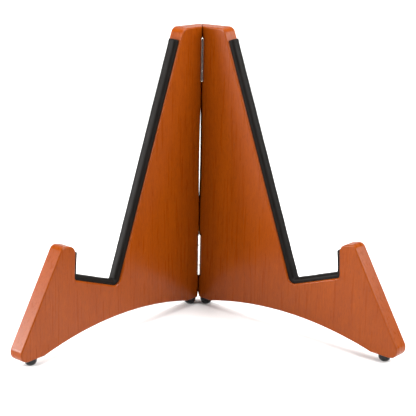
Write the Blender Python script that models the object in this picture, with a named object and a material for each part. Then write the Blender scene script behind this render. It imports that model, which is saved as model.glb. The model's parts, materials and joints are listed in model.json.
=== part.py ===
"""Folding guitar stand: two profiled boards hinged along their spine edges.

The boards stand upright on rubber feet and open to a right angle, with the corner
at the back.  Each board has a padded notch, and the body of an instrument rests in
the two notches.  Two butt hinges sit in the mitred spine edges.  Turning the empty
"right_side" about Z from 0 to -90 degrees folds the stand flat.

A board is drawn flat: u runs outward from the inner corner line, v runs up from the
floor, and w runs through the thickness from the inner face.  Units are metres.
"""

import math

import bmesh
import bpy
from mathutils import Matrix, Vector

# Board
BOARD_THICKNESS = 0.0190
BOARD_TOP = 0.3464            # height of the top edge at the inner corner line
TOP_RISE = math.radians(3.6)  # the top edge climbs outward
BOARD_BOTTOM = 0.0091         # height of the bottom flats, set by the feet
TOP_CORNER_RADIUS = 0.0085
BOTTOM_CORNER_RADIUS = 0.0034
EDGE_RADIUS = 0.0016
OPEN_ANGLE = math.radians(90)

# Slope, notch and lip, which carry the instrument
HEEL = (0.1403, 0.0603)       # where the slope meets the notch floor
SLOPE_LEAN = math.radians(20.5)
FLOOR_RISE = math.radians(20.1)
HEEL_RADIUS = 0.0080
LIP_INSIDE = (0.2109, 0.0945)  # a point on the lip's inner edge
LIP_LEAN = math.radians(3.0)
LIP_BASE_RADIUS = 0.0058
LIP_TIP = (0.2300, 0.1303)
LIP_TOP_RISE = math.radians(13.2)
LIP_INSIDE_RADIUS = 0.0095
LIP_TIP_RADIUS = 0.0077
TOE_REACH = 0.3026
TOE_RADIUS = 0.0104

# Arch under the board
ARCH_CROWN = (0.1393, 0.0245)
ARCH_RADIUS = 0.4730

# Mitred spine edges
MITRE_GAP = 0.0004            # each mitre face stays this far off the centre plane
HOLLOW_MIDDLE = 0.1899
HOLLOW_LENGTH = 0.1460
HOLLOW_DEPTH = 0.0009

# Pads
PAD_MIDDLE = 0.0090           # w of the pad's centre line
PAD_WIDTH = 0.0130
PAD_HEIGHT = 0.0064
PAD_SQUARENESS = 3.0          # 2 gives a half ellipse, more gives fuller shoulders
PAD_TOP = 0.3348              # v of the upper end, on the slope
PAD_LIP_END = 0.1176          # v of the other end, on the lip
SMALLEST_BEND = 0.0008

# Hinges: knuckles 1 to 2 to 1, leaves let into the mitre faces
AXIS_SETBACK = 0.0010         # the pin's axis is this far in front of the corner line
HINGE_HEIGHTS = {"lower": 0.0648, "upper": 0.3069}
HINGE_LENGTH = 0.0508
KNUCKLE_RADIUS = 0.0025
BORE_RADIUS = 0.0015
PIN_RADIUS = 0.00142
PIN_TIP_RADIUS = 0.0018
PIN_TIP_HEIGHT = 0.0008
LEAF_THICKNESS = 0.0012
LEAF_REACH = 0.0180           # from the axis to the leaf's far edge
LEAF_CLEAR_REACH = 0.0029     # where the leaf starts beside the other leaf's knuckle
LEAF_JOINED_REACH = 0.00165   # where it starts beside its own knuckle

# Fasteners
SCREW_LENGTH = 0.0120
SCREW_RADIUS = 0.0015
SCREW_HEAD_RADIUS = 0.0026
SCREW_HEAD_SINK = 0.0001
SCREW_ROWS = ((-0.0180, 0.0085), (0.0, 0.0125), (0.0180, 0.0085))

# Feet: rubber domes moulded round the head of a stud
FOOT_RADIUS = 0.0074
FOOT_FLAT_RADIUS = 0.0025
FOOT_PLACES = {"toe": 0.2726, "spine": 0.0050}
STUD_HEAD_RADIUS = 0.0040
STUD_HEAD_THICKNESS = 0.0015
STUD_HEAD_BOTTOM = 0.0035
STUD_RADIUS = 0.0016
STUD_TOP = 0.0240

SLOPE_ANGLE = math.pi / 2 + SLOPE_LEAN
LIP_ANGLE = math.pi / 2 + LIP_LEAN
FIT_GAP = 0.0003
CUT_EXTRA = 0.0010            # how far a cutter runs past the surface that it opens
SHARP_ANGLE = math.radians(30)


# ---------------------------------------------------------------- materials

def material(name, colour, roughness, metallic=0.0):
    made = bpy.data.materials.new(name)
    made.use_nodes = True
    shader = made.node_tree.nodes["Principled BSDF"]
    shader.inputs["Base Color"].default_value = (*colour, 1.0)
    shader.inputs["Roughness"].default_value = roughness
    shader.inputs["Metallic"].default_value = metallic
    made.diffuse_color = (*colour, 1.0)
    return made


# ---------------------------------------------------------------- outlines

def arc(centre, radius, start, end, steps):
    """Points on a circle from angle start to angle end, both included."""
    angles = [start + (end - start) * i / steps for i in range(steps + 1)]
    return [(centre[0] + radius * math.cos(a), centre[1] + radius * math.sin(a)) for a in angles]


def corner_arc(before, corner, after, radius, steps):
    """The fillet of a corner: an arc tangent to the lines to its two neighbours."""
    corner = Vector(corner)
    to_before = (Vector(before) - corner).normalized()
    to_after = (Vector(after) - corner).normalized()
    half = to_before.angle(to_after) / 2
    middle = (to_before + to_after).normalized()
    centre = corner + middle * (radius / math.sin(half))
    first = corner + to_before * (radius / math.tan(half)) - centre
    last = corner + to_after * (radius / math.tan(half)) - centre
    start = math.atan2(first.y, first.x)
    turn = math.remainder(math.atan2(last.y, last.x) - start, math.tau)
    return arc(centre, radius, start, start + turn, steps)


def rounded(points, radii, steps=5):
    """An open path with a fillet at each point whose radius isn't zero."""
    path = [points[0]]
    for before, corner, after, radius in zip(points, points[1:], points[2:], radii[1:]):
        path += corner_arc(before, corner, after, radius, steps) if radius else [corner]
    return path + [points[-1]]


def along(point, angle, distance):
    return (point[0] + distance * math.cos(angle), point[1] + distance * math.sin(angle))


def meet(point_a, angle_a, point_b, angle_b):
    """Where two lines cross, each given by a point and its angle from horizontal."""
    across = Vector(point_b) - Vector(point_a)
    turn = math.sin(angle_b - angle_a)
    distance = (across.x * math.sin(angle_b) - across.y * math.cos(angle_b)) / turn
    return along(point_a, angle_a, distance)


def top_height(u):
    return BOARD_TOP + u * math.tan(TOP_RISE)


def notch_corners():
    """The slope, notch floor and lip as virtual corners, from the top edge outward."""
    top = meet(HEEL, SLOPE_ANGLE, (0.0, BOARD_TOP), TOP_RISE)
    lip_base = meet(HEEL, FLOOR_RISE, LIP_INSIDE, LIP_ANGLE)
    lip_top = meet(LIP_TIP, LIP_TOP_RISE, LIP_INSIDE, LIP_ANGLE)
    return top, HEEL, lip_base, lip_top, LIP_TIP


def arch_points(steps=24):
    half_span = math.acos(1 - (ARCH_CROWN[1] - BOARD_BOTTOM) / ARCH_RADIUS)
    centre = (ARCH_CROWN[0], ARCH_CROWN[1] - ARCH_RADIUS)
    up = math.pi / 2
    return arc(centre, ARCH_RADIUS, up + half_span, up - half_span, steps)


def hollow_points(edge, steps=12):
    """The shallow hollow of the spine edge, from its upper end down."""
    depth = HOLLOW_DEPTH * math.sqrt(2)
    heights = [HOLLOW_LENGTH * (0.5 - i / steps) for i in range(steps + 1)]
    bows = [1 - (2 * height / HOLLOW_LENGTH) ** 2 for height in heights]
    return [(edge + depth * bow, HOLLOW_MIDDLE + height) for height, bow in zip(heights, bows)]


def board_outlines():
    """The outline on the inner face and on the outer face, point for point.

    The mitre carries the spine edge on the outer face past the inner corner line."""
    edge = MITRE_GAP * math.sqrt(2)
    far_edge = edge - BOARD_THICKNESS
    bottom_corner = (edge, BOARD_BOTTOM)
    toe_corner = (TOE_REACH, BOARD_BOTTOM)
    arch = arch_points()
    notch = notch_corners()
    top_corner = (edge, top_height(edge))
    run = [arch[-1], toe_corner, *reversed(notch), top_corner]
    radii = [0, TOE_RADIUS, LIP_TIP_RADIUS, LIP_INSIDE_RADIUS, LIP_BASE_RADIUS, HEEL_RADIUS,
             TOP_CORNER_RADIUS, 0]
    spine = hollow_points(edge)
    spine += corner_arc(spine[-1], bottom_corner, arch[0], BOTTOM_CORNER_RADIUS, 5)
    body = arch[:-1] + rounded(run, radii)[:-1]
    inner = body + [top_corner] + spine
    outer = body + [(far_edge, top_height(far_edge))]
    outer += [(u - BOARD_THICKNESS, v) for u, v in spine]
    return inner, outer


# ---------------------------------------------------------------- meshes

def finish(work, name):
    """A named mesh with its faces outward, smooth where the surface is round."""
    bmesh.ops.recalc_face_normals(work, faces=work.faces)
    mesh = bpy.data.meshes.new(name)
    work.to_mesh(mesh)
    work.free()
    mesh.shade_smooth()
    mesh.set_sharp_from_angle(angle=SHARP_ANGLE)
    return mesh


def skin(rings, name):
    work = bmesh.new()
    add_skin(work, rings)
    return finish(work, name)


def add_skin(work, rings):
    """A tube through rings of points, with a face across each end."""
    loops = [[work.verts.new(point) for point in ring] for ring in rings]
    for low, high in zip(loops, loops[1:]):
        for i in range(len(low)):
            work.faces.new((low[i - 1], low[i], high[i], high[i - 1]))
    work.faces.new(loops[0])
    work.faces.new(loops[-1])


def add_turned(work, profile, segments=24, place=Matrix()):
    """A solid turned about Z from (radius, height) pairs; a radius of 0 ends in a point."""
    def ring(radius, height):
        if radius == 0:
            return [work.verts.new(place @ Vector((0, 0, height)))]
        turns = [math.tau * i / segments for i in range(segments)]
        points = [Vector((radius * math.cos(a), radius * math.sin(a), height)) for a in turns]
        return [work.verts.new(place @ point) for point in points]

    rings = [ring(*pair) for pair in profile]
    for low, high in zip(rings, rings[1:]):
        for i in range(segments):
            corners = [low[i % len(low)], low[(i + 1) % len(low)],
                       high[(i + 1) % len(high)], high[i % len(high)]]
            work.faces.new(list(dict.fromkeys(corners)))
    for end in (rings[0], rings[-1]):
        if len(end) > 1:
            work.faces.new(end)


def add_box(work, low, high):
    size = Vector(high) - Vector(low)
    place = Matrix.Translation((Vector(low) + Vector(high)) / 2) @ Matrix.Diagonal((*size, 1))
    bmesh.ops.create_cube(work, size=1.0, matrix=place)


def mirrored(mesh, side):
    """The same mesh for the right side (+1), or its mirror image for the left (-1)."""
    if side < 0:
        mesh.transform(Matrix.Diagonal((-1, 1, 1, 1)))
        mesh.flip_normals()
    return mesh


# ---------------------------------------------------------------- objects

def add_object(name, mesh, parent, look=None, location=(0, 0, 0), turn=None):
    made = bpy.data.objects.new(name, mesh)
    bpy.context.scene.collection.objects.link(made)
    made.parent = parent
    made.location = location
    if turn:
        made.rotation_euler = turn
    if look and not mesh.materials:
        mesh.materials.append(look)
    return made


def cut(target, work, name, operation="DIFFERENCE"):
    """Cut the drawn shapes out of the target, or join them to it.

    They are drawn in the target's own axes and keep its place."""
    cutter = add_object(f"{name}_cutter", finish(work, name), target.parent,
                        location=target.location, turn=target.rotation_euler)
    cutter.hide_render = True
    cutter.display_type = "WIRE"
    step = target.modifiers.new(name, "BOOLEAN")
    step.operation = operation
    step.solver = "EXACT"
    step.object = cutter


def board_place(side):
    """Board axes (u to the side, w, v) seen from the hinge axis, with the stand open."""
    corner = Matrix.Translation((0, AXIS_SETBACK, 0))
    return corner @ Matrix.Rotation(-side * OPEN_ANGLE / 2, 4, "Z")


# ---------------------------------------------------------------- boards

def make_board(side_name, side, parent, look):
    inner, outer = board_outlines()
    rings = [[(u, 0.0, v) for u, v in inner], [(u, BOARD_THICKNESS, v) for u, v in outer]]
    mesh = mirrored(skin(rings, f"{side_name}_panel"), side)
    place = board_place(side)
    panel = add_object(f"{side_name}_panel", mesh, parent, look, place.translation,
                       place.to_euler())
    edges = panel.modifiers.new("rounded_edges", "BEVEL")
    edges.width = EDGE_RADIUS
    edges.segments = 2
    edges.limit_method = "ANGLE"
    edges.angle_limit = SHARP_ANGLE
    edges.use_clamp_overlap = False

    to_board = place.inverted()
    cut(panel, hinge_seats(side, to_board), "hinge_seat")
    cut(panel, knuckle_coves(to_board), "knuckle_cove")
    cut(panel, screw_holes(side, to_board), "screw_hole")
    cut(panel, stud_holes(side), "stud_hole")
    return panel


def hinge_seats(side, to_board):
    """Pockets in the mitre face, one leaf thickness deep."""
    work = bmesh.new()
    half = HINGE_LENGTH / 2 + FIT_GAP
    floor = side * (MITRE_GAP + LEAF_THICKNESS + FIT_GAP)
    for height in HINGE_HEIGHTS.values():
        start = len(work.verts)
        add_box(work, (min(0, floor), 0.0, height - half),
                (max(0, floor), LEAF_REACH + FIT_GAP, height + half))
        work.verts.ensure_lookup_table()
        bmesh.ops.transform(work, matrix=to_board, verts=work.verts[start:])
    return work


def knuckle_coves(to_board):
    """Round hollows at the inner corner for the knuckles and the pin's tips."""
    work = bmesh.new()
    radius = KNUCKLE_RADIUS + FIT_GAP
    half = HINGE_LENGTH / 2 + PIN_TIP_HEIGHT + 2 * FIT_GAP
    for height in HINGE_HEIGHTS.values():
        profile = [(radius, height - half), (radius, height + half)]
        add_turned(work, profile, 24, to_board)
    return work


def screw_place(side, height, reach):
    """The axis of a screw: its head on the leaf, pointing into the board."""
    face = Vector((side * (MITRE_GAP + SCREW_HEAD_SINK), reach, height))
    return Matrix.Translation(face) @ Matrix.Rotation(-side * math.pi / 2, 4, "Y")


def screw_holes(side, to_board):
    work = bmesh.new()
    radius = SCREW_RADIUS + FIT_GAP
    profile = [(0, -SCREW_LENGTH - CUT_EXTRA), (radius, -SCREW_LENGTH), (radius, CUT_EXTRA)]
    for height in HINGE_HEIGHTS.values():
        for rise, reach in SCREW_ROWS:
            place = to_board @ screw_place(side, height + rise, reach)
            add_turned(work, profile, 12, place)
    return work


def stud_holes(side):
    work = bmesh.new()
    radius = STUD_RADIUS + FIT_GAP
    profile = [(radius, BOARD_BOTTOM - CUT_EXTRA), (radius, STUD_TOP), (0, STUD_TOP + CUT_EXTRA)]
    for reach in FOOT_PLACES.values():
        place = Matrix.Translation((side * reach, BOARD_THICKNESS / 2, 0))
        add_turned(work, profile, 16, place)
    return work


# ---------------------------------------------------------------- pads

def pad_profile(steps=12):
    """The D section of the pad as (w, height) pairs, from the wood round and back."""
    power = 2 / PAD_SQUARENESS
    pairs = []
    for i in range(steps + 1):
        turn = math.pi * i / steps
        across = math.copysign(abs(math.cos(turn)) ** power, math.cos(turn))
        rise = max(math.sin(turn), 0.0) ** power
        pairs.append((PAD_MIDDLE + across * PAD_WIDTH / 2,
                      FIT_GAP + rise * (PAD_HEIGHT - FIT_GAP)))
    return pairs


def pad_path(height):
    """The notch's outline raised by a height, from the slope to the lip."""
    slope_end = meet(HEEL, SLOPE_ANGLE, (0.0, PAD_TOP), 0.0)
    lip_end = meet(LIP_INSIDE, LIP_ANGLE, (0.0, PAD_LIP_END), 0.0)
    slope = along(slope_end, SLOPE_LEAN, height)
    floor = along(HEEL, FLOOR_RISE + math.pi / 2, height)
    lip = along(lip_end, LIP_LEAN + math.pi, height)
    heel = meet(slope, SLOPE_ANGLE, floor, FLOOR_RISE)
    base = meet(floor, FLOOR_RISE, lip, LIP_ANGLE)
    radii = [0, max(HEEL_RADIUS - height, SMALLEST_BEND),
             max(LIP_BASE_RADIUS - height, SMALLEST_BEND), 0]
    return rounded([slope, heel, base, lip], radii)


def make_pad(side_name, side, parent, look):
    profile = pad_profile()
    paths = [pad_path(height) for _, height in profile]
    rings = [[(path[i][0], w, path[i][1]) for path, (w, _) in zip(paths, profile)]
             for i in range(len(paths[0]))]
    place = board_place(side)
    add_object(f"{side_name}_pad", mirrored(skin(rings, f"{side_name}_pad"), side), parent,
               look, place.translation, place.to_euler())


# ---------------------------------------------------------------- hinges

def knuckle_spans(owner):
    """Heights of the knuckles about the hinge's middle: two outer, or the one between."""
    half = HINGE_LENGTH / 2
    if owner == "left":
        return [(-half, -half / 2 - FIT_GAP / 2), (half / 2 + FIT_GAP / 2, half)]
    return [(-half / 2 + FIT_GAP / 2, half / 2 - FIT_GAP / 2)]


def leaf_outline(owner):
    """The leaf's flat outline as (reach, height), with a tab at each of its knuckles."""
    half = HINGE_LENGTH / 2
    outline = [(LEAF_REACH, half), (LEAF_REACH, -half)]
    if owner == "right":
        outline += [(LEAF_CLEAR_REACH, -half)]
    for low, high in knuckle_spans(owner):
        if owner == "right" or low > -half:
            outline += [(LEAF_CLEAR_REACH, low)]
        outline += [(LEAF_JOINED_REACH, low), (LEAF_JOINED_REACH, high)]
        if owner == "right" or high < half:
            outline += [(LEAF_CLEAR_REACH, high)]
    if owner == "right":
        outline += [(LEAF_CLEAR_REACH, half)]
    return outline


def make_leaf(hinge_name, owner, side, height, parent, look):
    name = f"{hinge_name}_hinge_{owner}_leaf"
    inner = side * MITRE_GAP
    outer = side * (MITRE_GAP + LEAF_THICKNESS)
    outline = leaf_outline(owner)
    rings = [[(inner, y, z) for y, z in outline], [(outer, y, z) for y, z in outline]]
    leaf = add_object(name, skin(rings, name), parent, look, (0, 0, height))

    knuckles = bmesh.new()
    for low, high in knuckle_spans(owner):
        add_turned(knuckles, [(KNUCKLE_RADIUS, low), (KNUCKLE_RADIUS, high)])
    cut(leaf, knuckles, f"{name}_knuckle", "UNION")

    bore = bmesh.new()
    reach = HINGE_LENGTH / 2 + CUT_EXTRA
    add_turned(bore, [(BORE_RADIUS, -reach), (BORE_RADIUS, reach)], 16)
    cut(leaf, bore, f"{name}_bore")

    holes = bmesh.new()
    cone = SCREW_HEAD_RADIUS - SCREW_RADIUS
    top = SCREW_HEAD_RADIUS + FIT_GAP
    bottom = SCREW_RADIUS + FIT_GAP
    profile = [(bottom, -LEAF_THICKNESS - CUT_EXTRA), (bottom, -cone), (top, 0), (top, CUT_EXTRA)]
    for rise, reach in SCREW_ROWS:
        add_turned(holes, profile, 16, screw_place(side, rise, reach))
    cut(leaf, holes, f"{name}_screw_hole")


def make_pin(hinge_name, height, parent, look):
    """A pin with a small domed tip over each end of the knuckles."""
    end = HINGE_LENGTH / 2 + FIT_GAP
    quarter = [math.pi / 2 * i / 3 for i in range(3)]
    dome = [(PIN_TIP_RADIUS * math.cos(a), end + PIN_TIP_HEIGHT * math.sin(a)) for a in quarter]
    upper = [(PIN_RADIUS, end)] + dome + [(0, end + PIN_TIP_HEIGHT)]
    lower = [(radius, -level) for radius, level in reversed(upper)]
    work = bmesh.new()
    add_turned(work, lower + upper, 16)
    name = f"{hinge_name}_hinge_pin"
    add_object(name, finish(work, name), parent, look, (0, 0, height))


def screw_mesh():
    """A countersunk screw with a cross recess: head up, point down, head at height 0."""
    cone = SCREW_HEAD_RADIUS - SCREW_RADIUS
    point = SCREW_LENGTH - 2.5 * SCREW_RADIUS
    work = bmesh.new()
    add_turned(work, [(0, -SCREW_LENGTH), (SCREW_RADIUS, -point), (SCREW_RADIUS, -cone),
                      (SCREW_HEAD_RADIUS, -FIT_GAP / 3), (SCREW_HEAD_RADIUS, 0)], 12)
    return finish(work, "hinge_screw")


def cross_recess():
    """The cross recess: a tapering four-armed star, one closed shape."""
    arm = 0.0013
    web = 0.0003
    depth = 0.0010
    star = []
    for quarter in range(4):
        turn = Matrix.Rotation(quarter * math.pi / 2, 2)
        star += [turn @ Vector(point) for point in ((arm, -web), (arm, web), (web, web))]
    rings = [[(0.55 * p.x, 0.55 * p.y, -depth) for p in star],
             [(p.x, p.y, CUT_EXTRA) for p in star]]
    work = bmesh.new()
    add_skin(work, rings)
    return work


def make_screws(hinge_name, owner, side, height, parent, mesh, look):
    for number, (rise, reach) in enumerate(SCREW_ROWS, start=1):
        place = screw_place(side, height + rise, reach)
        name = f"{hinge_name}_hinge_{owner}_screw_{number}"
        screw = add_object(name, mesh, parent, look, place.translation, place.to_euler())
        cut(screw, cross_recess(), f"{name}_recess")


# ---------------------------------------------------------------- feet

def make_foot(side_name, side, place_name, parent, rubber, steel):
    reach = FOOT_PLACES[place_name]
    centre = board_place(side) @ Vector((side * reach, BOARD_THICKNESS / 2, 0))
    start = math.acos(FOOT_FLAT_RADIUS / FOOT_RADIUS)
    lift = FOOT_RADIUS * math.sin(start)
    dome = arc((0.0, lift), FOOT_RADIUS, -start, 0.0, 6)
    work = bmesh.new()
    add_turned(work, dome + [(FOOT_RADIUS, BOARD_BOTTOM - FIT_GAP)])
    name = f"{side_name}_{place_name}_foot"
    foot = add_object(name, finish(work, name), parent, rubber, centre)

    hollow = bmesh.new()
    head_top = STUD_HEAD_BOTTOM + STUD_HEAD_THICKNESS
    neck = STUD_RADIUS + FIT_GAP
    wide = STUD_HEAD_RADIUS + FIT_GAP
    add_turned(hollow, [(wide, STUD_HEAD_BOTTOM - FIT_GAP), (wide, head_top + FIT_GAP),
                        (neck, head_top + FIT_GAP), (neck, BOARD_BOTTOM + CUT_EXTRA)], 16)
    cut(foot, hollow, f"{name}_hollow")

    stud = bmesh.new()
    taper = 2 * STUD_RADIUS
    add_turned(stud, [(STUD_HEAD_RADIUS, STUD_HEAD_BOTTOM), (STUD_HEAD_RADIUS, head_top),
                      (STUD_RADIUS, head_top), (STUD_RADIUS, STUD_TOP - taper),
                      (0, STUD_TOP)], 16)
    add_object(f"{name}_stud", finish(stud, f"{name}_stud"), parent, steel, centre)


# ---------------------------------------------------------------- the stand

def clear_scene():
    for thing in list(bpy.data.objects):
        bpy.data.objects.remove(thing, do_unlink=True)


def corner_line():
    """How far the inner corner line lies behind the middle of the footprint."""
    front = max(u for u, _ in board_outlines()[0]) / math.sqrt(2)
    back = BOARD_THICKNESS * math.sqrt(2)
    return (front - back) / 2


def make_side(side_name, side, looks):
    pivot = add_object(f"{side_name}_side", None, None,
                       location=(0, corner_line() - AXIS_SETBACK, 0))
    make_board(side_name, side, pivot, looks["wood"])
    make_pad(side_name, side, pivot, looks["pad"])
    for place_name in FOOT_PLACES:
        make_foot(side_name, side, place_name, pivot, looks["rubber"], looks["steel"])
    screw = screw_mesh()
    for hinge_name, height in HINGE_HEIGHTS.items():
        make_leaf(hinge_name, side_name, side, height, pivot, looks["steel"])
        make_screws(hinge_name, side_name, side, height, pivot, screw, looks["steel"])
    return pivot


def make_stand():
    clear_scene()
    looks = {
        "wood": material("stained_wood", (0.33, 0.075, 0.012), 0.35),
        "pad": material("black_foam", (0.012, 0.010, 0.010), 0.80),
        "rubber": material("black_rubber", (0.008, 0.008, 0.008), 0.35),
        "steel": material("plated_steel", (0.80, 0.78, 0.76), 0.22, 1.0),
    }
    left = make_side("left", -1, looks)
    make_side("right", 1, looks)
    for hinge_name, height in HINGE_HEIGHTS.items():
        make_pin(hinge_name, height, left, looks["steel"])


make_stand()
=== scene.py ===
import json
import math

import bmesh
import bpy
import numpy as np
from mathutils import Matrix, Vector


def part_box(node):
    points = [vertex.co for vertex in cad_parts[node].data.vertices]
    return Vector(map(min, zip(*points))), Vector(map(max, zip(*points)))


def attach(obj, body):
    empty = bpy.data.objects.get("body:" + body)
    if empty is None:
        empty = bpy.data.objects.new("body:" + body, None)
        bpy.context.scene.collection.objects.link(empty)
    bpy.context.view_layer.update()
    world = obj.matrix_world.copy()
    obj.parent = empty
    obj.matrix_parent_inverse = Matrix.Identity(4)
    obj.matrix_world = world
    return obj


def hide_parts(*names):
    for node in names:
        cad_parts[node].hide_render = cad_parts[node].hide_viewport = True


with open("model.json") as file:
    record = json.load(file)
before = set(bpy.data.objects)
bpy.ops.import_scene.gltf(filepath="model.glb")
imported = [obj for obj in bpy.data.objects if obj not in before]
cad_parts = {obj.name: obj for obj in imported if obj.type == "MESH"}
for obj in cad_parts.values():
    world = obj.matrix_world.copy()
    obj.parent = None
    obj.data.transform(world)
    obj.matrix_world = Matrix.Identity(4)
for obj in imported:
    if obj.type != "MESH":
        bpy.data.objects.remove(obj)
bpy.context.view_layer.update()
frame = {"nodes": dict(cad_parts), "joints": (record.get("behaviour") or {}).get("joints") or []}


# ------------------------------------------------------------------ Camera
# A long lens stands in front of the open stand, a little to its left, and looks down on
# it.  The stand's inner corner line lies just behind the axis of its hinges.

axis_setback = 0.0010
hinge_axis = Vector(frame["joints"][0]["pos_m"])
corner_y = hinge_axis.y + axis_setback

camera_aim = Vector((0.0101, corner_y - 0.0008, 0.1241))
camera_distance = 1.961
camera_lens = 140.2
camera_film_width = 36.0
camera_swing = math.radians(-4.42)
camera_height_angle = math.radians(17.40)
camera_roll = math.radians(1.04)

camera = bpy.data.objects.new("camera", bpy.data.cameras.new("camera"))
camera.data.lens = camera_lens
camera.data.sensor_width = camera_film_width
camera_turn = (Matrix.Rotation(camera_swing, 4, "Z")
               @ Matrix.Rotation(math.pi / 2 - camera_height_angle, 4, "X")
               @ Matrix.Rotation(camera_roll, 4, "Z"))
camera_back = camera_turn @ Vector((0.0, 0.0, camera_distance))
camera.matrix_world = Matrix.Translation(camera_aim + camera_back) @ camera_turn
bpy.context.scene.collection.objects.link(camera)
bpy.context.scene.camera = camera
bpy.context.scene.view_settings.view_transform = "Standard"


# ------------------------------------------------------------------ Floor
# The stand is shown on a wide sheet of matt white paper.  Away from the stand the paper
# has a painted glow, an emission with no lamp under it, and so stays pale to its edge.

floor_radius = 7.0
glow_reach = (1.1, 2.0)
glow_strength = 0.75
paper_fibre = 60.0
paper_shade = (0.80, 0.80, 0.797, 1.0)
paper_light = (0.84, 0.84, 0.837, 1.0)
black = (0.0, 0.0, 0.0, 1.0)
white = (1.0, 1.0, 1.0, 1.0)


def add_node(tree, kind, inputs=(), **settings):
    """A shader node with its settings; an input is a plain value or another node's output."""
    node = tree.nodes.new(kind)
    for name, value in settings.items():
        setattr(node, name, value)
    for name, value in dict(inputs).items():
        if isinstance(value, bpy.types.NodeSocket):
            tree.links.new(value, node.inputs[name])
        else:
            node.inputs[name].default_value = value
    return node


def new_material(name):
    """A material with its node tree and its Principled shader."""
    material = bpy.data.materials.new(name)
    material.use_nodes = True
    tree = material.node_tree
    return material, tree, tree.nodes["Principled BSDF"]


def noise(tree, place, scale, detail=2.0, roughness=0.5):
    """Noise stretched by its own scale along each axis of the place that it reads."""
    stretch = add_node(tree, "ShaderNodeVectorMath", {0: place, 1: scale}, operation="MULTIPLY")
    made = add_node(tree, "ShaderNodeTexNoise", {"Vector": stretch.outputs[0], "Scale": 1.0,
                                                 "Detail": detail, "Roughness": roughness})
    return made.outputs["Fac"]


def spread(tree, value, low, high, from_low=0.3, from_high=0.7):
    """The value carried from one range to another, held at its ends."""
    made = add_node(tree, "ShaderNodeMapRange", {"Value": value, "From Min": from_low,
                    "From Max": from_high, "To Min": low, "To Max": high})
    return made.outputs["Result"]


def blend_colours(tree, factor, first, second):
    """A mix of two colours by a mask from 0 to 1."""
    made = add_node(tree, "ShaderNodeMix", data_type="RGBA")
    for socket, value in ((made.inputs[0], factor), (made.inputs[6], first),
                          (made.inputs[7], second)):
        if isinstance(value, bpy.types.NodeSocket):
            tree.links.new(value, socket)
        else:
            socket.default_value = value
    return made.outputs[2]


def paper_floor_material():
    """Matt white paper with a trace of fibre, and a painted glow that grows with the distance."""
    material, tree, shader = new_material("floor_paper")
    place = add_node(tree, "ShaderNodeTexCoord").outputs["Object"]
    fibre = noise(tree, place, (paper_fibre, paper_fibre, paper_fibre), 3.0)
    tree.links.new(blend_colours(tree, fibre, paper_shade, paper_light),
                   shader.inputs["Base Color"])
    shader.inputs["Roughness"].default_value = 0.9
    shader.inputs["Specular IOR Level"].default_value = 0.1
    outward = add_node(tree, "ShaderNodeVectorMath", {0: place}, operation="LENGTH")
    far_off = spread(tree, outward.outputs["Value"], 0.0, 1.0, *glow_reach)
    tree.links.new(blend_colours(tree, far_off, black, white), shader.inputs["Emission Color"])
    shader.inputs["Emission Strength"].default_value = glow_strength
    return material


turns = np.linspace(0.0, math.tau, 96, endpoint=False)
floor_points = np.stack([np.cos(turns), np.sin(turns), np.zeros_like(turns)], axis=1)
floor_mesh = bpy.data.meshes.new("floor")
floor_mesh.from_pydata(floor_points * floor_radius, [], [list(range(len(turns)))])
floor_mesh.materials.append(paper_floor_material())
floor = bpy.data.objects.new("floor", floor_mesh)
bpy.context.scene.collection.objects.link(floor)


# ------------------------------------------------------------------ Black card
# A matt black card lies in front of the stand.  Only reflections see it, so the hinges and
# the satin faces carry its dark tone while the floor stays white.

card_near, card_far = -0.50, -2.6
card_half_width = 2.0
card_height = 0.002
card_fibre = 40.0
card_dark = (0.012, 0.012, 0.012, 1.0)
card_grey = (0.020, 0.020, 0.020, 1.0)


def black_card_material():
    """Matt black card with a trace of fibre in it."""
    material, tree, shader = new_material("black_card")
    place = add_node(tree, "ShaderNodeTexCoord").outputs["Object"]
    fibre = noise(tree, place, (card_fibre, card_fibre, card_fibre), 3.0)
    tree.links.new(blend_colours(tree, fibre, card_dark, card_grey), shader.inputs["Base Color"])
    shader.inputs["Roughness"].default_value = 0.9
    return material


card_mesh = bpy.data.meshes.new("black_card")
card_mesh.from_pydata([(-card_half_width, card_far, card_height),
                       (card_half_width, card_far, card_height),
                       (card_half_width, card_near, card_height),
                       (-card_half_width, card_near, card_height)], [], [(0, 1, 2, 3)])
card_mesh.materials.append(black_card_material())
card = bpy.data.objects.new("black_card", card_mesh)
card.visible_camera = False
card.visible_shadow = False
card.visible_diffuse = False
bpy.context.scene.collection.objects.link(card)


# ------------------------------------------------------------------ Lights and room
# Soft boxes: two keys in front, one low and one high at the sides, one overhead and two
# behind.  The room is plain white to the camera, and lights the stand from its ceiling.

light_aim_height = 0.12
softboxes = (
    # name, place, width and height, power, how far back it aims
    ("left_key", (-1.5, -0.9, 1.1), (0.9, 0.9), 37.0, 0.0),
    ("right_key", (1.5, -0.9, 1.1), (0.9, 0.9), 40.0, 0.0),
    ("left_low_box", (-2.0, -0.1, 0.45), (0.9, 0.6), 56.0, 0.0),
    ("right_box", (1.7, -0.1, 1.1), (0.9, 0.9), 29.0, 0.0),
    ("over_box", (0.0, 0.15, 1.1), (0.5, 0.5), 14.0, 0.0),
    ("back_box", (0.0, 2.0, 2.0), (2.4, 1.6), 12.0, 1.7),
    ("rim_box", (0.0, 2.4, 0.5), (2.4, 0.8), 6.0, 0.0),
)
ceiling_strength = 0.68
wall_strength = 0.04
ceiling_band = (0.45, 0.80)
seen_strength = 1.0

for light_name, light_place, light_size, light_power, light_aim_back in softboxes:
    light_data = bpy.data.lights.new(light_name, "AREA")
    light_data.shape = "RECTANGLE"
    light_data.size, light_data.size_y = light_size
    light_data.energy = light_power
    light = bpy.data.objects.new(light_name, light_data)
    aim = Vector((0.0, light_aim_back, light_aim_height)) - Vector(light_place)
    light.matrix_world = (Matrix.Translation(light_place)
                          @ aim.to_track_quat("-Z", "Y").to_matrix().to_4x4())
    bpy.context.scene.collection.objects.link(light)

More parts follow.
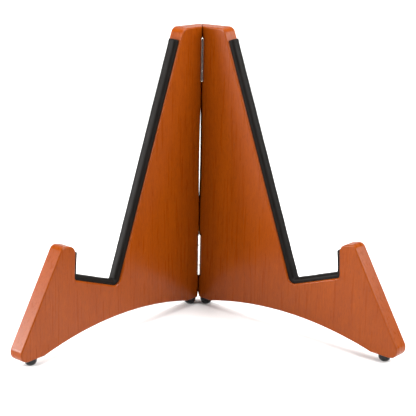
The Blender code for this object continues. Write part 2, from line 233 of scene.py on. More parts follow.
room = bpy.data.worlds.new("room")
room.use_nodes = True
room_tree = room.node_tree
looked = add_node(room_tree, "ShaderNodeTexCoord").outputs["Generated"]
upward = add_node(room_tree, "ShaderNodeSeparateXYZ", {"Vector": looked}).outputs["Z"]
glow = spread(room_tree, upward, wall_strength, ceiling_strength, *ceiling_band)
seen = add_node(room_tree, "ShaderNodeLightPath").outputs["Is Camera Ray"]
strength = add_node(room_tree, "ShaderNodeMix", {"Factor": seen, "A": glow, "B": seen_strength})
room_tree.links.new(strength.outputs["Result"], room_tree.nodes["Background"].inputs["Strength"])
room_tree.nodes["Background"].inputs["Color"].default_value = white
bpy.context.scene.world = room


# ------------------------------------------------------------------ Boards
# Two boards sawn from 19 mm stock, with a routed round-over on every edge and a satin
# reddish stain.  Their spine edges are mitred, hollowed a little and let out for hinges.

thickness = 0.0190
round_over = 0.0018
top_height = 0.3464
top_rise = math.radians(3.6)
top_radius = 0.0085
heel = np.array([0.1403, 0.0603])
slope_angle = math.radians(90.0 + 20.5)
floor_rise = math.radians(20.1)
heel_radius = 0.0080
lip_edge = np.array([0.2109, 0.0945])
lip_angle = math.radians(90.0 + 3.0)
lip_base_radius = 0.0058
lip_tip = np.array([0.2300, 0.1303])
lip_top_rise = math.radians(13.2)
lip_radius = 0.0095
lip_tip_radius = 0.0077
toe = np.array([0.3026, 0.0091])
toe_radius = 0.0104
arch_crown = np.array([0.1393, 0.0245])
arch_radius = 0.4730
foot_corner_radius = 0.0034
mitre_gap = 0.0004
hollow_middle = 0.1899
hollow_length = 0.1460
hollow_depth = 0.0009

mitre_reach = 0.0030
sides = (("left", -1), ("right", 1))

hinge_names = ("lower", "upper")
leaf_thickness = 0.0012
seat_clearance = 0.0003
knuckle_radius = 0.0025

stain_dark = (0.106, 0.0120, 0.00008, 1.0)
stain_light = (0.238, 0.0470, 0.00040, 1.0)
stain_pore = (0.040, 0.0060, 0.00030, 1.0)
grain_start = (0.31, 0.17, 0.40)
sway_waves, sway_reach = (9.0, 9.0, 5.0), 0.003
sway_side_reach = 0.002
figure_waves, figure_band = (60.0, 60.0, 6.0), (0.42, 0.68)
streak_waves, streak_band = (330.0, 330.0, 16.0), (0.10, 0.52)
fibre_waves, fibre_band = (1000.0, 1000.0, 100.0), (0.0, 0.42)
pore_waves, pore_band = (1500.0, 1500.0, 260.0), (0.56, 0.74)
pore_share = 0.35
stain_roughness = (0.25, 0.34)
grain_relief, grain_relief_depth = 0.25, 0.0001
lacquer_specular, lacquer_coat, lacquer_coat_roughness = 0.10, 0.11, 0.21


def crossing(point_a, angle_a, point_b, angle_b):
    """Where two lines meet: walk along the first until it lies on the second."""
    across = point_b - point_a
    walk = across[0] * math.sin(angle_b) - across[1] * math.cos(angle_b)
    walk /= math.sin(angle_b - angle_a)
    return point_a + walk * np.array([math.cos(angle_a), math.sin(angle_a)])


def bend(before, corner, after, radius, steps=14):
    """Points at equal turns on the circle that touches both lines through the corner."""
    arm_in = (before - corner) / np.linalg.norm(before - corner)
    arm_out = (after - corner) / np.linalg.norm(after - corner)
    half = math.acos(arm_in @ arm_out) / 2.0
    middle = (arm_in + arm_out) / np.linalg.norm(arm_in + arm_out)
    centre = corner + middle * radius / math.sin(half)
    first = corner + arm_in * radius / math.tan(half) - centre
    last = corner + arm_out * radius / math.tan(half) - centre
    start = math.atan2(first[1], first[0])
    turn = math.remainder(math.atan2(last[1], last[0]) - start, math.tau)
    angles = start + turn * np.linspace(0.0, 1.0, steps + 1)
    return centre + radius * np.stack([np.cos(angles), np.sin(angles)], axis=1)


def bent_path(corners, radii):
    """An open path through its corners, with a round bend at each inner one."""
    bends = [bend(*corners[i:i + 3], radii[i]) for i in range(len(radii))]
    return np.concatenate([corners[:1], *bends, corners[-1:]])


def notch_corners():
    """The corners of slope, notch and lip, from the top edge outward."""
    top = crossing(heel, slope_angle, np.array([0.0, top_height]), top_rise)
    base = crossing(heel, floor_rise, lip_edge, lip_angle)
    lip_top = crossing(lip_tip, lip_top_rise, lip_edge, lip_angle)
    return [top, heel, base, lip_top, lip_tip]


def board_outline():
    """The inner face's outline, anticlockwise, and how each point slides with depth.

    The arch is a circle's arc.  Spine points slide back by the depth, which cuts the
    mitre, and the top spine point also drops with the slope of the top edge."""
    spine = mitre_gap * math.sqrt(2.0)
    half_span = math.acos(1.0 - (arch_crown[1] - toe[1]) / arch_radius)
    angles = np.linspace(math.pi / 2 + half_span, math.pi / 2 - half_span, 61)
    arch = arch_crown + arch_radius * (np.stack([np.cos(angles), np.sin(angles)], axis=1)
                                       - np.array([0.0, 1.0]))
    top_spine = np.array([spine, top_height + spine * math.tan(top_rise)])
    corners = [arch[-1], toe, *reversed(notch_corners()), top_spine]
    radii = [toe_radius, lip_tip_radius, lip_radius, lip_base_radius, heel_radius, top_radius]
    outer_run = bent_path(corners, radii)
    reach = np.linspace(0.5, -0.5, 25)
    bow = hollow_depth * math.sqrt(2.0) * (1.0 - 4.0 * reach ** 2)
    hollow = np.stack([spine + bow, hollow_middle + reach * hollow_length], axis=1)
    foot_end = bend(hollow[-1], np.array([spine, toe[1]]), arch[0], foot_corner_radius)
    outline = np.concatenate([arch[:-1], outer_run, hollow, foot_end])
    slide = np.zeros_like(outline)
    spine_start = len(arch) - 1 + len(outer_run) - 1
    slide[spine_start:, 0] = -1.0
    slide[spine_start, 1] = -math.tan(top_rise)
    return outline, slide


def inward(outline):
    """The direction that moves each corner of a closed outline in by one unit a side."""
    ahead = np.roll(outline, -1, axis=0) - outline
    ahead /= np.linalg.norm(ahead, axis=1, keepdims=True)
    behind = np.roll(ahead, 1, axis=0)
    normal_ahead = np.stack([-ahead[:, 1], ahead[:, 0]], axis=1)
    normal_behind = np.stack([-behind[:, 1], behind[:, 0]], axis=1)
    total = normal_ahead + normal_behind
    stretch = 1.0 + np.sum(normal_ahead * normal_behind, axis=1, keepdims=True)
    return total / stretch


def rounded_slab(outline, slide, depth, radius, steps=7):
    """A slab with quarter-round edges: a ring for each angle of the two quarter circles.

    At angle a, a ring lies radius * (1 - cos a) below the face and radius * (1 - sin a)
    inside the outline."""
    angles = np.linspace(0.0, math.pi / 2, steps + 1)
    sink = radius * (1.0 - np.cos(angles))
    inset = radius * (1.0 - np.sin(angles))
    depths = np.concatenate([sink, depth - sink[::-1]])
    insets = np.concatenate([inset, inset[::-1]])
    rings = outline + slide * depths[:, None, None]
    rings = rings + np.stack([inward(ring) for ring in rings]) * insets[:, None, None]
    levels = np.broadcast_to(depths[:, None, None], (*rings.shape[:2], 1))
    return np.concatenate([rings[..., :1], levels, rings[..., 1:]], axis=2)


def board_to_stand(points, side):
    """Board axes (out from the corner, through the thickness, up) turned 45 degrees."""
    out, deep, up = np.moveaxis(points, -1, 0)
    across = side * (out + deep) / math.sqrt(2.0)
    back = corner_y + (deep - out) / math.sqrt(2.0)
    return np.stack([across, back, up], axis=-1)


def tube_object(name, rings, ends=True):
    """A mesh through rings of points: quads between neighbours, a face across each end."""
    count, around = rings.shape[:2]
    low = np.arange(count * around).reshape(count, around)[:-1]
    high = low + around
    quads = np.stack([low, np.roll(low, -1, 1), np.roll(high, -1, 1), high], axis=-1)
    faces = quads.reshape(-1, 4).tolist()
    if ends:
        faces += [list(range(around)), list(range((count - 1) * around, count * around))]
    mesh = bpy.data.meshes.new(name)
    mesh.from_pydata(rings.reshape(-1, 3), [], faces)
    piece = bpy.data.objects.new(name, mesh)
    bpy.context.scene.collection.objects.link(piece)
    tidy_mesh(mesh)
    return piece


def tidy_mesh(mesh, sharp_angle=math.radians(40.0)):
    """Poles merged to one point, faces turned outward, and round stretches smooth."""
    work = bmesh.new()
    work.from_mesh(mesh)
    bmesh.ops.remove_doubles(work, verts=work.verts, dist=1e-7)
    bmesh.ops.recalc_face_normals(work, faces=work.faces)
    work.to_mesh(mesh)
    work.free()
    mesh.shade_smooth()
    mesh.set_sharp_from_angle(angle=sharp_angle)


def turned_rings(profile, around, place):
    """A profile of (radius, height) pairs turned about Z, then put in its place."""
    radius, height = np.asarray(profile, float).T
    turn = np.linspace(0.0, math.tau, around, endpoint=False)
    points = np.stack([radius[:, None] * np.cos(turn), radius[:, None] * np.sin(turn),
                       np.broadcast_to(height[:, None], (len(radius), around))], axis=-1)
    matrix = np.array(place)
    return points @ matrix[:3, :3].T + matrix[:3, 3]


def box_rings(low, high):
    """A plain box as two rings of four corners."""
    corners = np.array([[low[0], low[1]], [high[0], low[1]], [high[0], high[1]],
                        [low[0], high[1]]])
    return np.stack([np.column_stack([corners, np.full(4, level)]) for level in
                     (low[2], high[2])])


def shaped(piece, tools, operation="DIFFERENCE"):
    """The piece cut by its tools or joined to them, kept as its mesh; the tools go."""
    for tool in tools:
        step = piece.modifiers.new(tool.name, "BOOLEAN")
        step.operation = operation
        step.solver = "EXACT"
        step.object = tool
    return settled(piece, tools)


def settled(piece, spent=()):
    """The piece with its modifiers worked out into its mesh."""
    graph = bpy.context.evaluated_depsgraph_get()
    mesh = bpy.data.meshes.new_from_object(piece.evaluated_get(graph))
    piece.modifiers.clear()
    piece.data = mesh
    for tool in spent:
        bpy.data.objects.remove(tool)
    return piece


def even_shading(piece):
    """Corner normals weighed by face area, so flat faces stay flat beside round edges."""
    step = piece.modifiers.new("even_shading", "WEIGHTED_NORMAL")
    step.keep_sharp = True
    return settled(piece)


def hinge_let_outs(side_name, side):
    """For each hinge, a pocket for the leaf and a round cove for the knuckles."""
    tools = []
    for hinge in hinge_names:
        low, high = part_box(f"{hinge}_hinge_{side_name}_leaf")
        floor_x = side * (mitre_gap + leaf_thickness + seat_clearance)
        start = (min(0.0, floor_x), hinge_axis.y, low.z - seat_clearance)
        end = (max(0.0, floor_x), high.y + seat_clearance, high.z + seat_clearance)
        tools.append(tube_object("leaf_pocket", box_rings(start, end)))
        pin_low, pin_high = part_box(f"{hinge}_hinge_pin")
        cove = [(knuckle_radius + seat_clearance, pin_low.z - seat_clearance),
                (knuckle_radius + seat_clearance, pin_high.z + seat_clearance)]
        place = Matrix.Translation((hinge_axis.x, hinge_axis.y, 0.0))
        tools.append(tube_object("knuckle_cove", turned_rings(cove, 64, place)))
    return tools


def stained_grain_group():
    """Straight close grain in a solid block, with its length along Z.

    Noise read at places that are squeezed along Z makes broad figure, streaks, fibres
    and short dark pores, and a slow sway keeps the streaks from being ruler straight."""
    group = bpy.data.node_groups.new("stained_grain", "ShaderNodeTree")
    group.interface.new_socket("Place", in_out="INPUT", socket_type="NodeSocketVector")
    for name in ("Light Stain", "Dark Stain", "Pore Stain"):
        group.interface.new_socket(name, in_out="INPUT", socket_type="NodeSocketColor")
    group.interface.new_socket("Colour", in_out="OUTPUT", socket_type="NodeSocketColor")
    for name in ("Roughness", "Height"):
        group.interface.new_socket(name, in_out="OUTPUT", socket_type="NodeSocketFloat")
    given = group.nodes.new("NodeGroupInput").outputs
    result = group.nodes.new("NodeGroupOutput").inputs

    sway = noise(group, given["Place"], sway_waves, 1.0)
    aside = add_node(group, "ShaderNodeCombineXYZ", {
        "X": spread(group, sway, -sway_reach, sway_reach),
        "Y": spread(group, sway, sway_side_reach, -sway_side_reach)})
    place = add_node(group, "ShaderNodeVectorMath", {0: given["Place"], 1: aside.outputs[0]},
                     operation="ADD").outputs[0]
    figure = noise(group, place, figure_waves, 3.0)
    streaks = noise(group, place, streak_waves, 4.0, 0.6)
    fibres = noise(group, place, fibre_waves, 2.0, 0.6)
    pores = spread(group, noise(group, place, pore_waves, 1.0), 0.0, 1.0, *pore_band)

    broad = blend_colours(group, spread(group, figure, *figure_band), given["Dark Stain"],
                          given["Light Stain"])
    streaked = blend_colours(group, spread(group, streaks, *streak_band), broad,
                             given["Light Stain"])
    fine = blend_colours(group, spread(group, fibres, *fibre_band), streaked,
                         given["Dark Stain"])
    share = add_node(group, "ShaderNodeMath", {0: pores, 1: pore_share}, operation="MULTIPLY")
    porous = blend_colours(group, share.outputs[0], fine, given["Pore Stain"])
    group.links.new(porous, result["Colour"])
    group.links.new(spread(group, streaks, *stain_roughness), result["Roughness"])
    raised = add_node(group, "ShaderNodeMath", {0: fibres, 1: pores}, operation="SUBTRACT")
    group.links.new(raised.outputs[0], result["Height"])
    return group


def stained_wood_material(name, side, grain, specular, coat):
    """Reddish stain on close grain that runs up the board, with or without satin lacquer."""
    material, tree, shader = new_material(name)
    place = add_node(tree, "ShaderNodeTexCoord").outputs["Object"]
    along = add_node(tree, "ShaderNodeMapping", {"Vector": place,
                     "Location": (grain_start[0] * side, grain_start[1], grain_start[2] * side),
                     "Rotation": (0.0, 0.0, side * math.pi / 4)})
    wood = add_node(tree, "ShaderNodeGroup", node_tree=grain)
    tree.links.new(along.outputs[0], wood.inputs["Place"])
    wood.inputs["Light Stain"].default_value = stain_light
    wood.inputs["Dark Stain"].default_value = stain_dark
    wood.inputs["Pore Stain"].default_value = stain_pore
    relief = add_node(tree, "ShaderNodeBump", {"Height": wood.outputs["Height"],
                      "Strength": grain_relief, "Distance": grain_relief_depth})
    tree.links.new(wood.outputs["Colour"], shader.inputs["Base Color"])
    tree.links.new(wood.outputs["Roughness"], shader.inputs["Roughness"])
    tree.links.new(relief.outputs[0], shader.inputs["Normal"])
    shader.inputs["Specular IOR Level"].default_value = specular
    shader.inputs["Coat Weight"].default_value = coat
    shader.inputs["Coat Roughness"].default_value = lacquer_coat_roughness
    return material


def mark_mitre(mesh):
    """Second material on the faces of the mitre and the hinge pockets behind the corner."""
    centres = np.empty(len(mesh.polygons) * 3)
    mesh.polygons.foreach_get("center", centres)
    across, back, _ = centres.reshape(-1, 3).T
    inside = (np.abs(across) < mitre_reach) & (back > corner_y + round_over)
    mesh.polygons.foreach_set("material_index", inside.astype(np.int32))


grain_group = stained_grain_group()
for side_name, side in sides:
    slab = rounded_slab(*board_outline(), thickness, round_over)
    board = tube_object(f"{side_name}_board", board_to_stand(slab, side))
    board = even_shading(shaped(board, hinge_let_outs(side_name, side)))
    board.data.materials.clear()
    board.data.materials.append(stained_wood_material(
        f"{side_name}_satin_face", side, grain_group, lacquer_specular, lacquer_coat))
    board.data.materials.append(stained_wood_material(
        f"{side_name}_sawn_mitre", side, grain_group, 0.0, 0.0))
    mark_mitre(board.data)
    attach(board, f"{side_name}_side")
    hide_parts(f"{side_name}_panel")


# ------------------------------------------------------------------ Pads
# A strip of black closed-cell foam with a D section is glued down each slope, round the
# notch and up the lip.  Its cut ends are soft, and it lifts off the wood a little there.

pad_middle = 0.0090
pad_width = 0.0130
pad_height = 0.0064
pad_squareness = 3.0
pad_bottom_gap = 0.0001
pad_top = 0.3348
pad_lip_end = 0.1176
pad_tightest_bend = 0.0008
pad_end_round = 0.0013
pad_end_lift = 0.0004
pad_end_lift_reach = 0.0070
pad_steps = (150, 50, 24)
pad_swells = ((0.012, 95.0, 0.0), (0.010, 231.0, 1.3))
foam_skin, foam_scuff = (1500.0, 1500.0, 1500.0), (160.0, 160.0, 60.0)
foam_roughness = (0.40, 0.52)
foam_specular = 0.06
foam_relief, foam_relief_depth = 0.35, 0.0002
pad_dark = (0.0030, 0.0024, 0.0020, 1.0)
pad_light = (0.0070, 0.0056, 0.0048, 1.0)


def run(start, end, steps):
    """Points along a straight run, closer together towards both of its ends."""
    share = 0.5 - 0.5 * np.cos(np.linspace(0.0, math.pi, steps + 1))
    return start + (end - start) * share[:, None]


def pad_path(height):
    """The notch raised by a height: its straight runs move out and its bends tighten."""
    slope_out = np.array([math.cos(slope_angle - math.pi / 2), math.sin(slope_angle - math.pi / 2)])
    floor_out = np.array([-math.sin(floor_rise), math.cos(floor_rise)])
    lip_out = np.array([-math.sin(lip_angle), math.cos(lip_angle)])
    start = crossing(heel, slope_angle, np.array([0.0, pad_top]), 0.0) + slope_out * height
    end = crossing(lip_edge, lip_angle, np.array([0.0, pad_lip_end]), 0.0) + lip_out * height
    level = heel + floor_out * height
    raised_heel = crossing(start, slope_angle, level, floor_rise)
    raised_base = crossing(level, floor_rise, end, lip_angle)
    heel_bend = bend(start, raised_heel, raised_base,
                     max(heel_radius - height, pad_tightest_bend))
    base_bend = bend(raised_heel, raised_base, end,
                     max(lip_base_radius - height, pad_tightest_bend))
    slope_steps, level_steps, lip_steps = pad_steps
    return np.concatenate([run(start, heel_bend[0], slope_steps), heel_bend[1:-1],
                           run(heel_bend[-1], base_bend[0], level_steps), base_bend[1:-1],
                           run(base_bend[-1], end, lip_steps)])


def pad_rings():
    """The D section, a half superellipse, carried along the raised notch.

    Near each end the section shrinks on a quarter circle and lifts off the wood on a
    bell curve; along the strip it swells and thins by a hair, as soft foam does."""
    turn = np.linspace(0.0, math.pi, 33)
    power = 2.0 / pad_squareness
    across = np.sign(np.cos(turn)) * np.abs(np.cos(turn)) ** power
    rise = np.abs(np.sin(turn)) ** power
    middle_path = pad_path(pad_height / 2)
    steps = np.linalg.norm(np.diff(middle_path, axis=0), axis=1)
    travelled = np.concatenate([[0.0], np.cumsum(steps)])
    from_end = np.minimum(travelled, travelled[-1] - travelled)
    short = np.clip(1.0 - from_end / pad_end_round, 0.0, 1.0)
    drawn_in = pad_end_round * (1.0 - np.sqrt(1.0 - short ** 2))
    swell = 1.0 + sum(share * np.sin(travelled * waves + start)
                      for share, waves, start in pad_swells)
    lift = pad_end_lift * np.exp(-(from_end / pad_end_lift_reach) ** 2)

    base = pad_path(0.0)
    crest = pad_path(pad_height)
    out = (crest - base) / np.linalg.norm(crest - base, axis=1, keepdims=True)
    columns = []
    for reach, share in zip(across, rise):
        height = pad_bottom_gap + share * (pad_height - pad_bottom_gap)
        extra = lift + share * (pad_height * (swell - 1.0) - drawn_in)
        extra = extra + (1.0 - share) * np.minimum(drawn_in, pad_height / 3)
        line = pad_path(height) + out * extra[:, None]
        deep = pad_middle + reach * (pad_width / 2 - drawn_in)
        columns.append(np.column_stack([line[:, 0], deep, line[:, 1]]))
    return np.stack(columns, axis=1)


def foam_material():
    """Matt black foam: a fine open skin, faint long scuffs and a little dust."""
    material, tree, shader = new_material("black_foam")
    place = add_node(tree, "ShaderNodeTexCoord").outputs["Object"]
    skin = noise(tree, place, foam_skin, 3.0, 0.7)
    scuffs = noise(tree, place, foam_scuff, 4.0)
    dusty = blend_colours(tree, spread(tree, scuffs, 0.0, 0.7), pad_dark, pad_light)
    speckled = blend_colours(tree, spread(tree, skin, 0.0, 0.5), dusty, pad_light)
    tree.links.new(speckled, shader.inputs["Base Color"])
    tree.links.new(spread(tree, scuffs, *foam_roughness), shader.inputs["Roughness"])
    relief = add_node(tree, "ShaderNodeBump", {"Height": skin, "Strength": foam_relief,
                                               "Distance": foam_relief_depth})
    tree.links.new(relief.outputs[0], shader.inputs["Normal"])
    shader.inputs["Specular IOR Level"].default_value = foam_specular
    return material


foam = foam_material()
for side_name, side in sides:
    pad = tube_object(f"{side_name}_foam_pad", board_to_stand(pad_rings(), side))
    pad.data.materials.append(foam)
    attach(pad, f"{side_name}_side")
    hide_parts(f"{side_name}_pad")


# ------------------------------------------------------------------ Hinge leaves
# Each hinge is a plated steel butt hinge.  Its two leaves are stamped plates that lie flush
# in the mitred edges, with edges rolled into knuckles that close round one pin.

leaf_clear_reach = 0.0029
leaf_joined_reach = 0.0012
leaf_edge_round = 0.00012
knuckle_seam = 0.0003
knuckle_edge_round = 0.00025
bore_radius = 0.0015
bore_overrun = 0.001
screw_rows = ((-0.0180, 0.0085), (0.0, 0.0125), (0.0180, 0.0085))
screw_radius = 0.0015
screw_head_radius = 0.0026
screw_head_sink = 0.0001
countersink_overrun = 0.0008
plate_pale = (0.80, 0.76, 0.72, 1.0)
plate_dull = (0.58, 0.54, 0.50, 1.0)
plate_cloud = (210.0, 210.0, 210.0)
plate_drawn_line = (4200.0, 4200.0, 120.0)
plate_relief, plate_relief_depth = 0.05, 0.00002
hinge_roughness = (0.09, 0.17)
axis_place = Matrix.Translation((hinge_axis.x, hinge_axis.y, 0.0))


def plated_steel_material(name, roughness):
    """Bright plating over steel: fine drawn lines along Z and cloudy dull patches."""
    material, tree, shader = new_material(name)
    place = add_node(tree, "ShaderNodeTexCoord").outputs["Object"]
    clouds = noise(tree, place, plate_cloud, 4.0)
    lines = noise(tree, place, plate_drawn_line, 2.0)
    tone = blend_colours(tree, spread(tree, clouds, 0.0, 1.0), plate_pale, plate_dull)
    tree.links.new(tone, shader.inputs["Base Color"])
    tree.links.new(spread(tree, clouds, *roughness), shader.inputs["Roughness"])
    relief = add_node(tree, "ShaderNodeBump", {"Height": lines, "Strength": plate_relief,
                                               "Distance": plate_relief_depth})
    tree.links.new(relief.outputs[0], shader.inputs["Normal"])
    shader.inputs["Metallic"].default_value = 1.0
    return material


def eased_turning(radius, low, high, ease):
    """A turned bar's profile with a small quarter round at both ends."""
    angles = np.linspace(0.0, math.pi / 2, 5)
    tail = np.column_stack([radius - ease + ease * np.sin(angles),
                            low + ease - ease * np.cos(angles)])
    head = np.column_stack([tail[::-1, 0], low + high - tail[::-1, 1]])
    return np.concatenate([tail, head])


def turns_at(before, point, after):
    """True where a path changes direction at its point."""
    cross = (point[0] - before[0]) * (after[1] - point[1])
    cross -= (point[1] - before[1]) * (after[0] - point[0])
    return abs(cross) >= 1e-12


def leaf_plate(name, side, far_reach, low, high, knuckles):
    """The flat plate of a leaf: a rectangle with a tongue into each of its knuckles."""
    path = [(leaf_clear_reach, low), (far_reach, low), (far_reach, high),
            (leaf_clear_reach, high)]
    for start, end in reversed(knuckles):
        path += [(leaf_clear_reach, end), (leaf_joined_reach, end),
                 (leaf_joined_reach, start), (leaf_clear_reach, start)]
    path = np.array([point for i, point in enumerate(path) if point != path[i - 1]])
    outline = np.array([point for i, point in enumerate(path)
                        if turns_at(path[i - 1], point, path[(i + 1) % len(path)])])
    slab = rounded_slab(outline, np.zeros_like(outline), leaf_thickness, leaf_edge_round, 3)
    points = np.stack([side * (mitre_gap + slab[..., 1]), hinge_axis.y + slab[..., 0],
                       slab[..., 2]], axis=-1)
    return tube_object(name, points)


def screw_place(side, height, reach):
    """A screw's axis: its head in the leaf's face, its point into the board."""
    face = (side * (mitre_gap + screw_head_sink), hinge_axis.y + reach, height)
    return Matrix.Translation(face) @ Matrix.Rotation(-side * math.pi / 2, 4, "Y")


def countersink(side, height, reach):
    """A cutter for a screw's hole: a straight bore under a 90 degree cone."""
    cone = screw_head_radius - screw_radius
    wide = screw_head_radius + knuckle_seam / 2
    narrow = screw_radius + knuckle_seam / 2
    profile = [(narrow, -2 * leaf_thickness), (narrow, -cone), (wide, 0.0),
               (wide, countersink_overrun)]
    rings = turned_rings(profile, 48, screw_place(side, height, reach))
    return tube_object("countersink", rings)


def make_leaf(hinge, side_name, side, steel):
    """Plate and knuckles joined, then bored for the pin and countersunk for the screws."""
    low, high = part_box(f"{hinge}_hinge_{side_name}_leaf")
    middle = (low.z + high.z) / 2
    quarter = (high.z - low.z) / 4
    if side_name == "left":
        knuckles = [(low.z, middle - quarter - knuckle_seam / 2),
                    (middle + quarter + knuckle_seam / 2, high.z)]
    else:
        knuckles = [(middle - quarter + knuckle_seam / 2, middle + quarter - knuckle_seam / 2)]
    far_reach = high.y - hinge_axis.y
    leaf = leaf_plate(f"{hinge}_{side_name}_leaf", side, far_reach, low.z, high.z, knuckles)
    barrels = [tube_object("knuckle", turned_rings(
        eased_turning(knuckle_radius, start, end, knuckle_edge_round), 64, axis_place))
        for start, end in knuckles]
    leaf = shaped(leaf, barrels, "UNION")
    bore = tube_object("bore", turned_rings([(bore_radius, low.z - bore_overrun),
                                             (bore_radius, high.z + bore_overrun)],
                                            40, axis_place))
    sinks = [countersink(side, middle + rise, reach) for rise, reach in screw_rows]
    leaf = even_shading(shaped(leaf, [bore, *sinks]))
    leaf.data.materials.clear()
    leaf.data.materials.append(steel)
    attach(leaf, f"{side_name}_side")
    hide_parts(f"{hinge}_hinge_{side_name}_leaf")


hinge_steel = plated_steel_material("plated_hinge_steel", hinge_roughness)
for hinge in hinge_names:
    for side_name, side in sides:
        make_leaf(hinge, side_name, side, hinge_steel)


# ------------------------------------------------------------------ Hinge pins
# A plain steel pin is driven through the knuckles of each hinge, and a low domed tip over
# the barrel at both ends keeps it there.

pin_radius = 0.00142
pin_tip_radius = 0.0019


def make_pin(hinge, steel):
    """A shank under quarter-ellipse domes, turned about the hinge's axis."""
    low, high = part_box(f"{hinge}_hinge_pin")
    leaf_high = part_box(f"{hinge}_hinge_left_leaf")[1]
    angles = np.linspace(0.0, math.pi / 2, 9)
    seat = leaf_high.z + knuckle_seam / 2
    dome = np.column_stack([pin_tip_radius * np.cos(angles),
                            seat + (high.z - seat) * np.sin(angles)])
    head = np.concatenate([[[pin_radius, seat]], dome])
    tail = np.column_stack([head[::-1, 0], low.z + high.z - head[::-1, 1]])
    rings = turned_rings(np.concatenate([tail, head]), 48, axis_place)
    pin = tube_object(f"{hinge}_pin", rings)
    pin.data.materials.append(steel)
    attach(pin, "left_side")
    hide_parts(f"{hinge}_hinge_pin")


for hinge in hinge_names:
    make_pin(hinge, hinge_steel)


# ------------------------------------------------------------------ Screws
# Three zinc-plated wood screws hold each leaf.  Each has a countersunk head with a cross
# recess, a rolled thread that starts below the head, and a sharp point.

screw_length = 0.0120
screw_point_length = 0.00375
screw_point_blunt = 0.02
screw_thread_pitch = 0.0011
screw_thread_depth = 0.00035
screw_thread_start = 0.0015
screw_neck_length = 0.0016
screw_head_edge = ((0.0, 0.00012), (0.0, 0.00004), (0.0001, 0.0))
recess_arm, recess_web, recess_depth = 0.00135, 0.00028, 0.0010
recess_overrun = 0.0005
recess_taper = 0.5
screw_roughness = (0.28, 0.42)


def screw_rings(along=110, around=28):
    """A screw as a grid of turn and length, whose shank swells along a helix.

    The thread's height follows a squared raised cosine of length / pitch minus turn, and
    fades out towards the point and below the cone of the head."""
    cone = screw_head_radius - screw_radius
    core = screw_radius - screw_thread_depth
    length = np.linspace(screw_length, cone, along)
    turn = np.linspace(0.0, math.tau, around, endpoint=False)
    wave = 0.5 + 0.5 * np.cos(math.tau * (length[:, None] / screw_thread_pitch) - turn)
    taper = np.clip((screw_length - length) / screw_point_length, screw_point_blunt, 1.0)
    fade = np.clip((length - cone) / screw_thread_start, 0.0, 1.0) * taper
    shank = core * taper[:, None] + screw_thread_depth * fade[:, None] * wave ** 2
    neck = np.minimum(screw_radius, shank + screw_thread_depth * (1 - fade[:, None]))
    shank = np.where(length[:, None] > cone + screw_neck_length, shank, neck)
    inset, head_depth = np.array(screw_head_edge).T
    head = np.broadcast_to((screw_head_radius - inset)[:, None], (len(inset), around))
    radius = np.concatenate([shank, head])
    depth = np.concatenate([length, head_depth])[:, None]
    return np.stack([radius * np.cos(turn), radius * np.sin(turn),
                     np.broadcast_to(-depth, radius.shape)], axis=-1)


def cross_recess_rings():
    """A four-armed star that tapers with depth: three points to an arm, by quarter turns."""
    arm_points = np.array([[recess_arm, -recess_web], [recess_arm, recess_web],
                           [recess_web, recess_web]])
    quarter = np.array([[0.0, -1.0], [1.0, 0.0]])
    star = np.concatenate([arm_points @ np.linalg.matrix_power(quarter, i).T for i in range(4)])
    bottom = np.column_stack([star * recess_taper, np.full(len(star), -recess_depth)])
    top = np.column_stack([star, np.full(len(star), recess_overrun)])
    return np.stack([bottom, top])


def placed(rings, place):
    """Rings of points moved and turned by a matrix."""
    matrix = np.array(place)
    return rings @ matrix[:3, :3].T + matrix[:3, 3]


def make_screws(hinge, side_name, side, steel):
    """Three screws to a leaf, each cut with its cross recess."""
    low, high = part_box(f"{hinge}_hinge_{side_name}_leaf")
    for number, (rise, reach) in enumerate(screw_rows, start=1):
        place = screw_place(side, (low.z + high.z) / 2 + rise, reach)
        screw = tube_object(f"{hinge}_{side_name}_screw_{number}", placed(screw_rings(), place))
        recess = tube_object("recess", placed(cross_recess_rings(), place))
        screw = shaped(screw, [recess])
        screw.data.materials.clear()
        screw.data.materials.append(steel)
        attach(screw, f"{side_name}_side")
        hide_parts(f"{hinge}_hinge_{side_name}_screw_{number}")


screw_steel = plated_steel_material("plated_screw_steel", screw_roughness)
for hinge in hinge_names:
    for side_name, side in sides:
        make_screws(hinge, side_name, side, screw_steel)


# ------------------------------------------------------------------ Feet
# Four domed feet of glossy black rubber carry the stand, one under each toe and one under
# each spine.  Each is moulded in one piece and sits against the board's bottom edge.

foot_flat_radius = 0.0025
foot_rim_round = 0.0006
foot_top_gap = 0.0001
rubber_dark = (0.0028, 0.0028, 0.0030, 1.0)
rubber_dusty = (0.0120, 0.0112, 0.0105, 1.0)
rubber_blotch, rubber_grit = (420.0, 420.0, 420.0), (3000.0, 3000.0, 3000.0)
rubber_dust_share, rubber_dust_height = 0.7, 0.004
rubber_roughness = (0.20, 0.32)
rubber_specular = 0.25
rubber_relief, rubber_relief_depth = 0.12, 0.0001


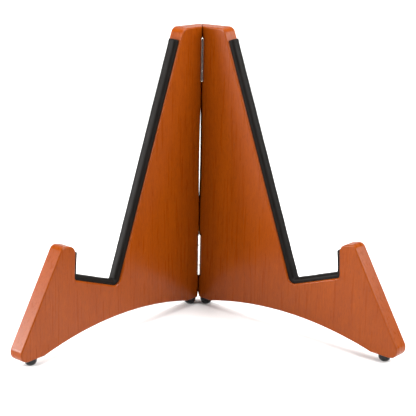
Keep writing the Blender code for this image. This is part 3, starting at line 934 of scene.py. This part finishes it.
def rubber_material():
    """Glossy black rubber with a faint mould texture and dust low down."""
    material, tree, shader = new_material("black_rubber")
    place = add_node(tree, "ShaderNodeTexCoord").outputs["Object"]
    blotches = noise(tree, place, rubber_blotch, 3.0)
    grit = noise(tree, place, rubber_grit, 2.0)
    height = add_node(tree, "ShaderNodeSeparateXYZ", {"Vector": place}).outputs["Z"]
    low_down = spread(tree, height, rubber_dust_share, 0.0, 0.0, rubber_dust_height)
    dust = add_node(tree, "ShaderNodeMath", {0: blotches, 1: low_down}, operation="MULTIPLY")
    tone = blend_colours(tree, dust.outputs[0], rubber_dark, rubber_dusty)
    tree.links.new(tone, shader.inputs["Base Color"])
    tree.links.new(spread(tree, blotches, *rubber_roughness), shader.inputs["Roughness"])
    shader.inputs["Specular IOR Level"].default_value = rubber_specular
    relief = add_node(tree, "ShaderNodeBump", {"Height": grit, "Strength": rubber_relief,
                                               "Distance": rubber_relief_depth})
    tree.links.new(relief.outputs[0], shader.inputs["Normal"])
    return material


def make_foot(side_name, place_name, rubber):
    """A dome from the circle through its flat and its widest point, under a short wall."""
    low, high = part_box(f"{side_name}_{place_name}_foot")
    radius = (high.x - low.x) / 2
    start = math.acos(foot_flat_radius / radius)
    lift = radius * math.sin(start)
    dome_angles = np.linspace(-start, 0.0, 22)
    dome = np.column_stack([radius * np.cos(dome_angles), lift + radius * np.sin(dome_angles)])
    top = toe[1] - foot_top_gap
    rim_angles = np.linspace(0.0, math.pi / 2, 7)
    rim = np.column_stack([radius - foot_rim_round + foot_rim_round * np.cos(rim_angles),
                           top - foot_rim_round + foot_rim_round * np.sin(rim_angles)])
    place = Matrix.Translation(((low.x + high.x) / 2, (low.y + high.y) / 2, 0.0))
    rings = turned_rings(np.concatenate([dome, rim]), 72, place)
    foot = tube_object(f"{side_name}_{place_name}_rubber_foot", rings)
    foot.data.materials.append(rubber)
    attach(foot, f"{side_name}_side")
    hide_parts(f"{side_name}_{place_name}_foot")


foot_places = ("toe", "spine")
rubber = rubber_material()
for side_name, side in sides:
    for place_name in foot_places:
        make_foot(side_name, place_name, rubber)


# ------------------------------------------------------------------ Foot studs
# A short plated steel stud holds each foot: the rubber is moulded round its head, and its
# shank is pressed up into the board.  Its shape is right as the frame has it.

for side_name, side in sides:
    for place_name in foot_places:
        stud = frame["nodes"][f"{side_name}_{place_name}_foot_stud"]
        stud.data.materials.clear()
        stud.data.materials.append(screw_steel)
